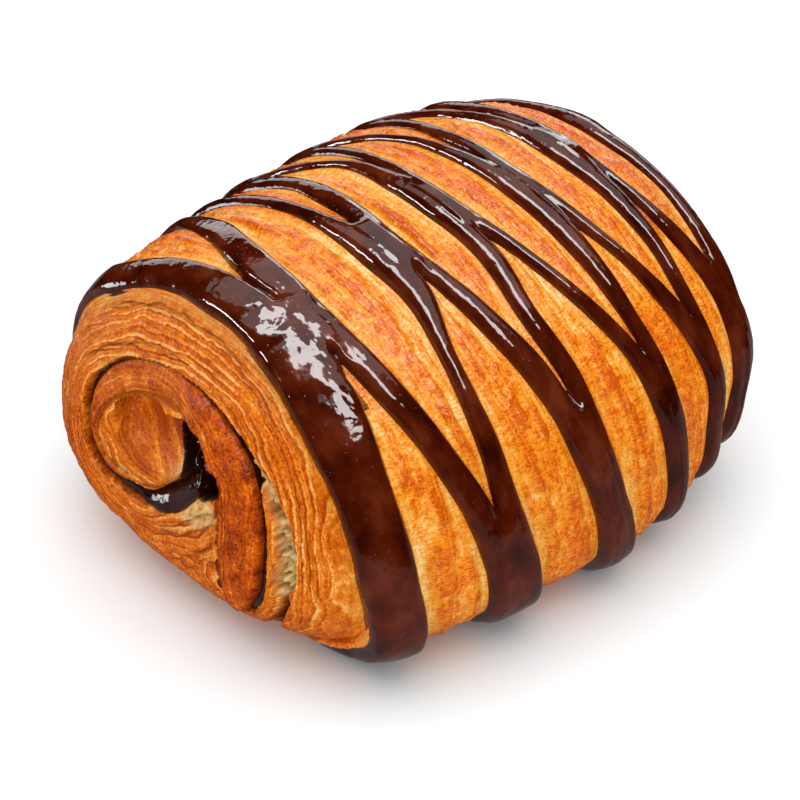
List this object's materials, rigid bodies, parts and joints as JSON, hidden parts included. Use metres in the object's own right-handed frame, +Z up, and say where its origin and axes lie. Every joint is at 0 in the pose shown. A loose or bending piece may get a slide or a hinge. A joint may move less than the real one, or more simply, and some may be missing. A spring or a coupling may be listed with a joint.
{
  "type": "pain au chocolat",
  "caption": "Plump rolled laminated pastry with a flat foot, open spiral ends around a chocolate filling, and a thick chocolate zigzag fused over its crust.",
  "frame": {"origin": "on the table, under the middle of the roll", "axes": "+X along the roll, away from the spiral end that the picture shows; -Y towards the front of the roll; +Z up"},
  "size_m": [0.091, 0.0831, 0.0565],
  "materials": {
    "crust": "golden egg-washed crust, softly glossy",
    "chocolate": "glossy dark chocolate"
  },
  "bodies": {
    "root": {"pastry": "crust", "chocolate_filling": "chocolate"}
  },
  "joints": []
}
